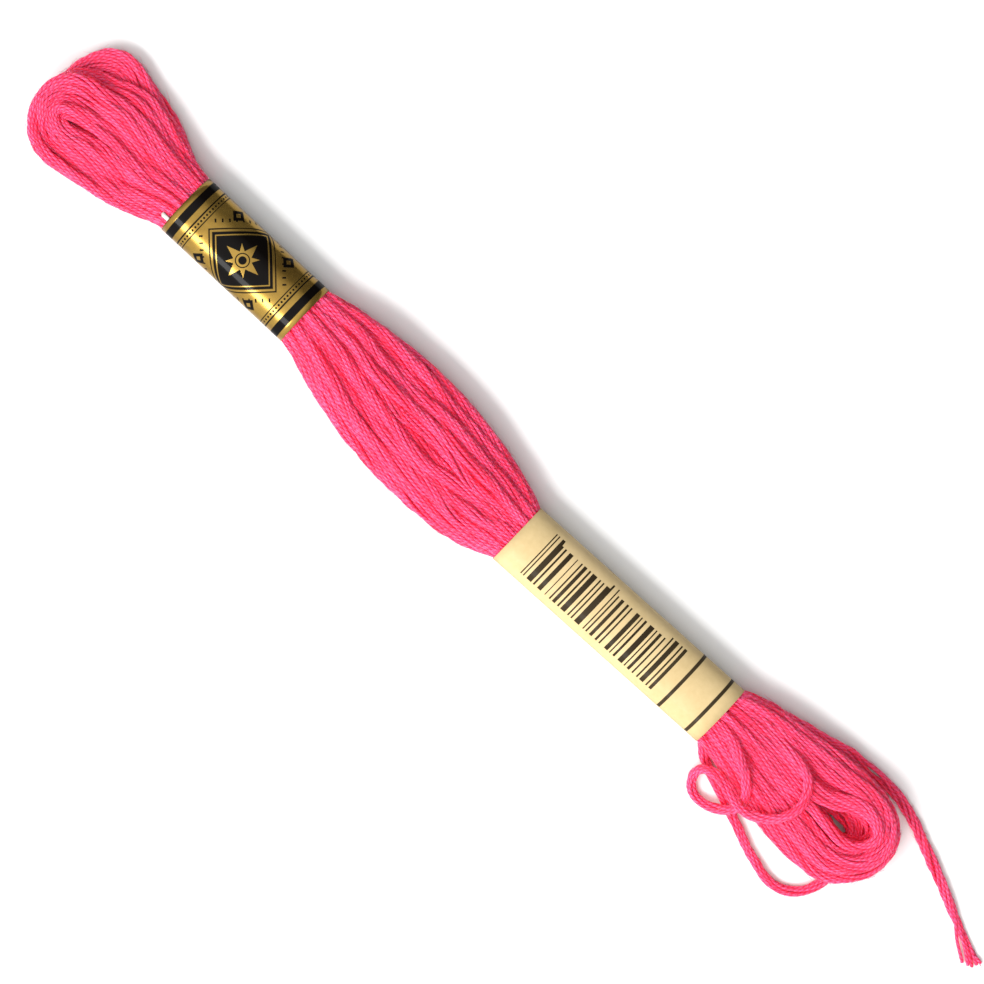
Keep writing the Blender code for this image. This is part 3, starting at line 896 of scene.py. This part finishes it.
class Val:
    """A shader value that can be reckoned with as a number."""

    def __init__(self, nt, socket):
        self.nt, self.socket = nt, socket

    def op(self, name, *others, clamp=False):
        node = self.nt.nodes.new("ShaderNodeMath")
        node.operation = name
        node.use_clamp = clamp
        for i, v in enumerate((self,) + others):
            if isinstance(v, Val):
                self.nt.links.new(v.socket, node.inputs[i])
            else:
                node.inputs[i].default_value = float(v)
        return Val(self.nt, node.outputs[0])

    def __add__(self, o): return self.op("ADD", o)
    def __radd__(self, o): return self.op("ADD", o)
    def __sub__(self, o): return self.op("SUBTRACT", o)
    def __rsub__(self, o): return (self * -1.0).op("ADD", o)
    def __mul__(self, o): return self.op("MULTIPLY", o)
    def __rmul__(self, o): return self.op("MULTIPLY", o)
    def __truediv__(self, o): return self.op("DIVIDE", o)
    def __lt__(self, o): return self.op("LESS_THAN", o)
    def __gt__(self, o): return self.op("GREATER_THAN", o)
    def __abs__(self): return self.op("ABSOLUTE")
    def sin(self): return self.op("SINE")
    def floor(self): return self.op("FLOOR")
    def fract(self): return self.op("FRACT")
    def least(self, o): return self.op("MINIMUM", o)
    def most(self, o): return self.op("MAXIMUM", o)
    def clamp(self): return self.op("ADD", 0.0, clamp=True)
    def power(self, o): return self.op("POWER", o)

    def step(self, edge, soft):
        """0 below edge, 1 above it, over a soft border."""
        return ((self - edge) / soft + 0.5).clamp()

    def between(self, lo, hi, soft):
        return self.step(lo, soft) * (1.0 - self.step(hi, soft))


def new_material(name):
    m = bpy.data.materials.new(name)
    m.use_nodes = True
    nt = m.node_tree
    for node in list(nt.nodes):
        nt.nodes.remove(node)
    out = nt.nodes.new("ShaderNodeOutputMaterial")
    bsdf = nt.nodes.new("ShaderNodeBsdfPrincipled")
    nt.links.new(bsdf.outputs[0], out.inputs[0])
    return m, nt, bsdf


def uv_of(nt, name):
    uv = nt.nodes.new("ShaderNodeUVMap")
    uv.uv_map = name
    sep = nt.nodes.new("ShaderNodeSeparateXYZ")
    nt.links.new(uv.outputs[0], sep.inputs[0])
    return uv, Val(nt, sep.outputs[0]), Val(nt, sep.outputs[1])


def noise_of(nt, vector, scale, detail=3.0, rough=0.5, stretch=None):
    node = nt.nodes.new("ShaderNodeTexNoise")
    node.inputs["Scale"].default_value = scale
    node.inputs["Detail"].default_value = detail
    node.inputs["Roughness"].default_value = rough
    if stretch is not None:
        m = nt.nodes.new("ShaderNodeMapping")
        m.inputs["Scale"].default_value = stretch
        nt.links.new(vector, m.inputs["Vector"])
        vector = m.outputs[0]
    nt.links.new(vector, node.inputs["Vector"])
    return Val(nt, node.outputs[0])


def ramp_of(nt, value, stops, constant=False):
    node = nt.nodes.new("ShaderNodeValToRGB")
    r = node.color_ramp
    r.interpolation = "CONSTANT" if constant else "LINEAR"
    while len(r.elements) > 1:
        r.elements.remove(r.elements[-1])
    r.elements[0].position, r.elements[0].color = stops[0]
    for place, colour in stops[1:]:
        r.elements.new(place).color = colour
    nt.links.new(value.socket, node.inputs[0])
    return node.outputs[0]


def mix_of(nt, factor, a, b, kind="MIX"):
    node = nt.nodes.new("ShaderNodeMix")
    node.data_type = "RGBA"
    node.blend_type = kind
    for i, v in ((0, factor), (6, a), (7, b)):
        if isinstance(v, Val):
            nt.links.new(v.socket, node.inputs[i])
        elif isinstance(v, (int, float, tuple)):
            node.inputs[i].default_value = v
        else:
            nt.links.new(v, node.inputs[i])
    return node.outputs[2]


def floss_material():
    m, nt, bsdf = new_material("floss_cotton")
    uv, u, v = uv_of(nt, "floss_uv")
    strip = u * float(TONES)
    tone, around = strip.floor(), strip.fract()
    # two plies wind round each other: eight marks in one repeat, each with painted shade in its groove and lighter
    # colour on its crests
    wobble = (v * (2 * math.pi) + tone * 1.7).sin() * 0.10 + (v * (6 * math.pi) + tone * 2.3).sin() * 0.07
    phase = around * 2.0 + v * 12.0 + wobble
    groove = abs((phase * math.pi).sin())                   # 0 in the groove between plies
    ply_relief_and_shade = groove.power(0.8)
    fine = ((around * 12.0 + v * 44.0 + wobble * 3.0) * (2 * math.pi)).sin()
    finer = ((around * 21.0 + v * 71.0 + wobble * 5.0) * (2 * math.pi)).sin()
    white = nt.nodes.new("ShaderNodeTexWhiteNoise")
    white.noise_dimensions = "1D"
    nt.links.new(tone.socket, white.inputs["W"])
    mottle = noise_of(nt, uv.outputs[0], 26.0, 2.0, 0.6, (TONES * 0.35, 1.0, 1.0))
    # the colour ramp follows random tone, mottle and the ply term; the ply term paints shade into the grooves between
    # the plies and lightens their crests
    s = Val(nt, white.outputs[0]) * 0.24 + ply_relief_and_shade * 0.42 + mottle * 0.34 + fine * 0.05 + finer * 0.03
    colour = ramp_of(nt, s.clamp(), [
        (0.14, FLOSS_COLOURS[0]), (0.38, FLOSS_COLOURS[1]), (0.62, FLOSS_COLOURS[2]), (0.88, FLOSS_COLOURS[3])])
    nt.links.new(colour, bsdf.inputs["Base Color"])
    rough = (0.62 - ply_relief_and_shade * 0.14 + fine * 0.04).clamp()
    nt.links.new(rough.socket, bsdf.inputs["Roughness"])
    height = ply_relief_and_shade + fine * 0.07 + finer * 0.05
    bump = nt.nodes.new("ShaderNodeBump")
    bump.inputs["Strength"].default_value = 0.9
    bump.inputs["Distance"].default_value = 0.00011
    nt.links.new(height.socket, bump.inputs["Height"])
    nt.links.new(bump.outputs[0], bsdf.inputs["Normal"])
    bsdf.inputs["Specular IOR Level"].default_value = 0.35
    bsdf.inputs["Sheen Weight"].default_value = 0.12
    bsdf.inputs["Sheen Roughness"].default_value = 0.40
    bsdf.inputs["Sheen Tint"].default_value = srgb(255, 200, 230)
    bsdf.inputs["Subsurface Weight"].default_value = 0.45
    bsdf.inputs["Subsurface Radius"].default_value = (1.0, 0.08, 0.15)
    bsdf.inputs["Subsurface Scale"].default_value = 0.0020
    return m


# the floss colour ramp from dark to light; its darkest stops carry the painted shade of the ply grooves
FLOSS_COLOURS = (srgb(251, 5, 34), srgb(253, 26, 70), srgb(254, 52, 99), srgb(255, 91, 138))
floss_mat = floss_material()
for o in hank_pieces:
    o.data.materials.append(floss_mat)
    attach(o, "root")
    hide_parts("hank")
for name, (o, line) in cord_pieces.items():
    o.data.materials.append(floss_mat)
    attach(o, "root")
    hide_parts(name)
    "bare" if name == "pull_tail" else "object"
    [list(p * MM) for p in line]

# ------------------------------------------------------------------- bands
PAPER = 0.13


def oval(wide, high, a):
    c, s = np.cos(a), np.sin(a)
    k = 2.0 / BAND_SQUARE
    return (wide / 2 * np.sign(c) * np.abs(c) ** k, high / 2 * np.sign(s) * np.abs(s) ** k)


def paper_band(name, b, seam, lap, tab=None):
    """Paper wrapped once round the neck, its edge lapped over its start.
    seam is the angle of the outer edge and lap how far it reaches over."""
    n, m = 96, 25
    a = seam + np.linspace(-lap, 2 * math.pi, n)       # from under the lap round to the edge
    inset = np.clip((seam + 0.0 - a) / lap, 0, 1)      # the start lies under
    rows = []
    for k in range(m):
        f = k / (m - 1)
        x = b["x0"] + (b["x1"] - b["x0"]) * f
        yc = b["y0"] + (b["y1"] - b["y0"]) * f
        zc = b["low"] + b["high"] / 2
        drop = PAPER * 1.15 * np.clip((seam + 0.35 - a) / 0.35, 0, 1)
        y, z = oval(b["wide"], b["high"], a)
        rad = np.hypot(y, z)
        y, z = y * (1 - drop / rad), z * (1 - drop / rad)
        rows.append(np.stack([np.full(n, x), yc + y, zc + z], 1))
    outer = np.array(rows)                              # m, n, 3
    centre = outer.copy()
    ny = outer[..., 1] - (b["y0"] + (b["y1"] - b["y0"]) * np.linspace(0, 1, m))[:, None]
    nz = outer[..., 2] - (b["low"] + b["high"] / 2)
    rad = np.hypot(ny, nz)
    inner = outer.copy()
    inner[..., 1] -= ny / rad * PAPER
    inner[..., 2] -= nz / rad * PAPER
    verts = np.vstack([outer.reshape(-1, 3), inner.reshape(-1, 3)]) * MM
    idx = np.arange(m * n).reshape(m, n)
    off = m * n
    faces, uvs = [], []
    run = np.concatenate([[0], np.cumsum(np.hypot(np.diff(outer[0, :, 1]), np.diff(outer[0, :, 2])))])
    # a runs from the -Y side over the underside to +Y and the top: find the
    # top line, and measure round from it, +Y positive
    top_a = math.pi / 2 + 2 * math.pi * np.round((a - math.pi / 2) / (2 * math.pi))
    best = int(np.argmin(np.abs(a - (math.pi / 2 + 2 * math.pi))))
    across = -(run - run[best])
    along = np.linspace(0, b["x1"] - b["x0"], m)

    def quad(p, q, r, s, uv):
        faces.append((p, q, r, s))
        uvs.append(uv)
    for i in range(m - 1):
        for j in range(n - 1):
            u0, u1 = along[i] / 100, along[i + 1] / 100
            v0, v1 = (across[j] + 50) / 100, (across[j + 1] + 50) / 100
            quad(idx[i, j], idx[i + 1, j], idx[i + 1, j + 1], idx[i, j + 1],
                 ((u0, v0), (u1, v0), (u1, v1), (u0, v1)))
            quad(off + idx[i, j], off + idx[i, j + 1], off + idx[i + 1, j + 1], off + idx[i + 1, j],
                 ((u0, v0), (u0, v1), (u1, v1), (u1, v0)))
    for i in range(m - 1):                              # the two lengthwise edges
        quad(idx[i, 0], off + idx[i, 0], off + idx[i + 1, 0], idx[i + 1, 0], ((0, 0),) * 4)
        quad(idx[i, n - 1], idx[i + 1, n - 1], off + idx[i + 1, n - 1], off + idx[i, n - 1], ((0, 0),) * 4)
    for j in range(n - 1):                              # the two mouths
        quad(idx[0, j], idx[0, j + 1], off + idx[0, j + 1], off + idx[0, j], ((0, 0),) * 4)
        quad(idx[m - 1, j], off + idx[m - 1, j], off + idx[m - 1, j + 1], idx[m - 1, j + 1], ((0, 0),) * 4)
    if tab:                                             # a corner of the start that sticks out
        (ya, yb), reach = tab
        base = len(verts)
        more = []
        for lift in (0.0, -PAPER):
            for f in (0.0, 0.5, 1.0):
                for yy in (ya, (ya + yb) / 2, yb):
                    t = abs(yy - b["y0"]) / (b["wide"] / 2 - 0.18)
                    zz = (1 - t ** BAND_SQUARE) ** (1 / BAND_SQUARE) * (b["high"] / 2 - 0.18)
                    x = b["x0"] + 0.8 - (0.8 + reach * (1 - 0.25 * (yy == ya))) * f
                    more.append((x, yy, b["low"] + b["high"] / 2 + zz + lift - 0.10 * f))
        verts = np.vstack([verts, np.array(more) * MM])
        for k in range(2):
            for i in range(2):
                for j in range(2):
                    q = [base + 9 * k + 3 * i + j, base + 9 * k + 3 * i + j + 1,
                         base + 9 * k + 3 * (i + 1) + j + 1, base + 9 * k + 3 * (i + 1) + j]
                    quad(*(q if k else q[::-1]), ((-0.01, 0.5),) * 4)
        rim = [0, 1, 2, 5, 8, 7, 6, 3]
        for i in range(8):
            p, q = base + rim[i], base + rim[(i + 1) % 8]
            quad(p, q, q + 9, p + 9, ((-0.01, 0.5),) * 4)
    mesh = bpy.data.meshes.new(name)
    mesh.from_pydata([tuple(v) for v in verts], [], faces)
    layer = mesh.uv_layers.new(name="paper_mm")
    flat = [c for uv in uvs for p in uv for c in p]
    layer.data.foreach_set("uv", flat)
    mesh.update()
    mesh.shade_smooth()
    obj = bpy.data.objects.new(name, mesh)
    bpy.context.scene.collection.objects.link(obj)
    return obj


def gold_paper():
    """Gold foil paper printed in black: stripes at its ends and between them
    a plain ornament of lozenges and a star."""
    m, nt, bsdf = new_material("gold_foil_paper")
    uv, a, w = uv_of(nt, "paper_mm")
    a, w = a * 100.0, w * 100.0 - 50.0          # millimetres along, and round from the top
    soft = 0.07
    long = 24.0
    end = a.least(long - a)
    ink = end.between(0.85, 2.15, soft).most(end.between(3.05, 3.30, soft))
    # frame lines of the field
    ink = ink.most(end.between(4.05, 4.22, soft) * (1.0 - abs(w).step(9.4, soft)))
    x, y = a - long / 2, w + 0.4
    ax, ay = abs(x), abs(y)
    lozenge = ax / 6.1 + ay / 6.3
    panel = 1.0 - lozenge.step(1.0, 0.03)
    line = lozenge.between(0.86, 0.90, 0.015)
    outer = lozenge.between(1.07, 1.12, 0.02)
    ink = ink.most(outer * (1.0 - end.between(-1.0, 4.1, soft)))
    # eight-pointed star in the panel
    r = (x * x + y * y).power(0.5)
    big, small = ax.most(ay), ax.least(ay)
    diag = (ax + ay) * 0.7071
    skew = abs(ax - ay) * 0.7071
    star = ((small * 2.9 + big) < 3.15).most((skew * 3.4 + diag) < 2.55)
    hub = 1.0 - r.step(0.62, soft)
    ring = r.between(0.95, 1.12, 0.05)
    gold_in = star.most(line)
    gold_in = gold_in * (1.0 - hub) * (1.0 - ring)
    ink = ink.most(panel)
    ink = ink * (1.0 - panel * gold_in)
    # small lozenges in the corners, and a row of them on the sides of the field
    cx, cy = abs(ax - 5.0), abs(ay - 4.6)
    ink = ink.most((1.0 - (cx / 1.15 + cy / 1.25).step(1.0, 0.08)))
    ink = ink * (1.0 - (1.0 - (cx / 0.42 + cy / 0.46).step(1.0, 0.2)))
    row = ((x / 2.1 + 0.5).fract() - 0.5) * 2.1
    ink = ink.most((1.0 - (abs(row) / 0.55 + abs(ay - 7.9) / 0.62).step(1.0, 0.1)) * (1.0 - ax.step(7.4, soft)))
    ink = ink.most(ay.between(9.0, 9.2, soft) * (1.0 - ax.step(7.6, soft)))
    # beads between the frame lines, and short rays round the panel
    bead = ((w / 0.62).fract() - 0.5) * 0.62
    ink = ink.most(1.0 - ((bead * bead + (end - 3.68) * (end - 3.68)).power(0.5)).step(0.17, 0.05))
    far_ray = (ax * 0.72 + ay * 0.70)
    rays = abs((((ax * 0.70 - ay * 0.72) / 1.05).fract() - 0.5) * 1.05) < 0.13
    ink = ink.most(rays * far_ray.between(5.75, 6.35, 0.06) * (1.0 - abs(ax * 0.70 - ay * 0.72).step(4.0, 0.05)))
    # the bare paper of the inner lap shows white beyond the mouth
    bare = 1.0 - (a + 0.02).step(0.0, 0.02)
    ink = ink * (1.0 - bare)
    wear = noise_of(nt, uv.outputs[0], 60.0, 4.0, 0.6)
    ink = (ink * (0.97 + wear * 0.08)).clamp()
    tex = nt.nodes.new("ShaderNodeTexCoord")
    fibre = noise_of(nt, tex.outputs["Object"], 900.0, 3.0, 0.6)
    broad = noise_of(nt, tex.outputs["Object"], 160.0, 2.0, 0.5)
    foil = ramp_of(nt, (broad * 0.7 + fibre * 0.3).clamp(), [(0.30, srgb(120, 93, 39)), (0.70, srgb(150, 121, 57))])
    colour = mix_of(nt, bare, mix_of(nt, ink, foil, srgb(6, 4, 3)), srgb(190, 186, 180))
    nt.links.new(colour, bsdf.inputs["Base Color"])
    metal = (1.0 - ink) * (1.0 - bare) * 0.88
    nt.links.new(metal.socket, bsdf.inputs["Metallic"])
    rough = (0.19 + fibre * 0.10).clamp()
    nt.links.new(rough.socket, bsdf.inputs["Roughness"])
    bump = nt.nodes.new("ShaderNodeBump")
    bump.inputs["Strength"].default_value = 0.25
    bump.inputs["Distance"].default_value = 0.00004
    height = broad * 1.2 + fibre * 0.5 + ink * 0.25
    nt.links.new(height.socket, bump.inputs["Height"])
    nt.links.new(bump.outputs[0], bsdf.inputs["Normal"])
    bsdf.inputs["Specular IOR Level"].default_value = 0.02
    bsdf.inputs["Coat Weight"].default_value = 0.11
    bsdf.inputs["Coat Roughness"].default_value = 0.07
    return m


# printed bars on the cream band: gap and bar widths in millimetres, uneven
# and standing for nothing
BARS = ((0.0, .25), (.3, .25), (.5, .95), (.4, .3), (.6, .75), (.8, .2), (.7, .3), (.35, .6), (.5, .3), (.4, .9),
        (.55, .25), (.45, .25), (.5, 1.0), (.75, .2), (.4, .3), (.5, .55), (.6, .4), (.45, .25), (.9, .7), (.35, .25),
        (.5, .35), (.7, .9), (.35, .25), (.45, .5), (.5, .3), (.65, .25), (.4, .8), (.5, .3), (.35, .55))
BARS = tuple((g * 0.93, b * 0.93) for g, b in BARS)
BARS_FROM = 4.2


def cream_paper():
    """Glossy coated cream paper with printed bars and two ruled lines."""
    m, nt, bsdf = new_material("cream_coated_paper")
    uv, a, w = uv_of(nt, "paper_mm")
    a, w = a * 100.0, w * 100.0 - 50.0
    soft = 0.05
    # the bars, as two tables of edges along the band
    edges, at = [], BARS_FROM
    for gap, bar in BARS:
        edges.append((at + gap, at + gap + bar))
        at += gap + bar
    span = at - BARS_FROM + 0.4
    half = len(edges) // 2
    ink = None
    lo = BARS_FROM - 0.2
    cut = (edges[half - 1][1] + edges[half][0]) / 2
    for part, (p, q) in ((edges[:half], (lo, cut)), (edges[half:], (cut, lo + span))):
        stops = [(0.0, (0, 0, 0, 1))]
        for e0, e1 in part:
            stops += [((e0 - p) / (q - p), (1, 1, 1, 1)), ((e1 - p) / (q - p), (0, 0, 0, 1))]
        t = ((a - p) / (q - p)).clamp()
        c = Val(nt, ramp_of(nt, t, stops, constant=True))
        c = c * a.between(p, q, 0.001)
        ink = c if ink is None else ink.most(c)
    long_ones = (1.0 - (a - 4.0).step(2.0, soft)).most(a.between(15.4, 16.9, soft)).most(a.step(26.6, soft))
    ink = ink * w.step(-4.35, soft) * (1.0 - (w - long_ones * 0.9).step(2.95, soft))
    rule = a.between(32.05, 32.60, soft).most(a.between(37.45, 38.00, soft))
    ink = ink.most(rule * (1.0 - abs(w).step(11.5, soft)))
    tex = nt.nodes.new("ShaderNodeTexCoord")
    fibre = noise_of(nt, tex.outputs["Object"], 1100.0, 4.0, 0.6)
    broad = noise_of(nt, tex.outputs["Object"], 90.0, 3.0, 0.5)
    ink = (ink * (0.90 + broad * 0.10)).clamp()
    paper = ramp_of(nt, (broad * 0.6 + fibre * 0.4).clamp(), [(0.30, srgb(176, 154, 110)), (0.72, srgb(193, 171, 129))])
    colour = mix_of(nt, ink, paper, srgb(20, 11, 5))
    nt.links.new(colour, bsdf.inputs["Base Color"])
    rough = (0.40 + fibre * 0.14).clamp()
    nt.links.new(rough.socket, bsdf.inputs["Roughness"])
    bump = nt.nodes.new("ShaderNodeBump")
    bump.inputs["Strength"].default_value = 0.22
    bump.inputs["Distance"].default_value = 0.00004
    height = broad * 1.5 + fibre * 0.5 + ink * 0.2
    nt.links.new(height.socket, bump.inputs["Height"])
    nt.links.new(bump.outputs[0], bsdf.inputs["Normal"])
    bsdf.inputs["Specular IOR Level"].default_value = 0.04
    bsdf.inputs["Coat Weight"].default_value = 0.04
    bsdf.inputs["Coat Roughness"].default_value = 0.12
    return m


gold = paper_band("paper_gold", BANDS["band_gold"], math.radians(196), 0.5, ((-4.05, -3.30), 1.35))
gold.data.materials.append(gold_paper())
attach(gold, "root")
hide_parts("band_gold")
cream = paper_band("paper_cream", BANDS["band_cream"], math.radians(166), 0.5)
cream.data.materials.append(cream_paper())
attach(cream, "root")
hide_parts("band_cream")

# ------------------------------------------------------- surface and light
floor_mesh = bpy.data.meshes.new("surface")
floor_mesh.from_pydata([(-1.5, -1.5, 0), (1.5, -1.5, 0), (1.5, 1.5, 0), (-1.5, 1.5, 0)], [], [(0, 1, 2, 3)])
floor = bpy.data.objects.new("surface", floor_mesh)
bpy.context.scene.collection.objects.link(floor)
m, nt, bsdf = new_material("pale_surface")
bsdf.inputs["Base Color"].default_value = (0.71, 0.71, 0.71, 1)
bsdf.inputs["Roughness"].default_value = 0.9
bsdf.inputs["Specular IOR Level"].default_value = 0.1
floor_mesh.materials.append(m)


KEY = 4.6
TENT = (0.19, 1.71)


def area(name, place, size, power, look=(0, 0, 0), colour=(1, 1, 1)):
    data = bpy.data.lights.new(name, "AREA")
    data.shape = "RECTANGLE"
    data.size, data.size_y = size
    data.energy = power
    data.color = colour
    o = bpy.data.objects.new(name, data)
    o.location = place
    from mathutils import Vector
    d = Vector(look) - Vector(place)
    o.rotation_euler = d.to_track_quat("-Z", "Y").to_euler()
    bpy.context.scene.collection.objects.link(o)
    return o


area("key", (-0.02, -0.385, 0.50), (0.55, 0.17), KEY)
world = bpy.data.worlds.new("studio")
bpy.context.scene.world = world
world.use_nodes = True
wnt = world.node_tree
for node in list(wnt.nodes):
    wnt.nodes.remove(node)
w_out = wnt.nodes.new("ShaderNodeOutputWorld")
w_bg = wnt.nodes.new("ShaderNodeBackground")
wnt.links.new(w_bg.outputs[0], w_out.inputs[0])
w_co = wnt.nodes.new("ShaderNodeTexCoord")
w_sep = wnt.nodes.new("ShaderNodeSeparateXYZ")
wnt.links.new(w_co.outputs["Generated"], w_sep.inputs[0])
# a light tent: light above and on the side of the key, dark on the far side
tent = (Val(wnt, w_sep.outputs[2]) * 1.0 - Val(wnt, w_sep.outputs[1]) * 1.75 + 0.06).clamp() * TENT[1] + TENT[0]
glow_node = wnt.nodes.new("ShaderNodeCombineXYZ")
for i in range(3):
    wnt.links.new(tent.socket, glow_node.inputs[i])
glow = glow_node.outputs[0]
w_path = wnt.nodes.new("ShaderNodeLightPath")
seen = mix_of(wnt, Val(wnt, w_path.outputs["Is Camera Ray"]), glow, (1.0, 1.0, 1.0, 1.0))
wnt.links.new(seen, w_bg.inputs[0])
w_bg.inputs[1].default_value = 1.0
bpy.context.scene.view_settings.view_transform = "Standard"
bpy.context.scene.view_settings.look = "None"
bpy.context.scene.cycles.max_bounces = 14
bpy.context.scene.cycles.diffuse_bounces = 10

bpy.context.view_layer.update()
print("done at", round(time.time() - clock, 1))
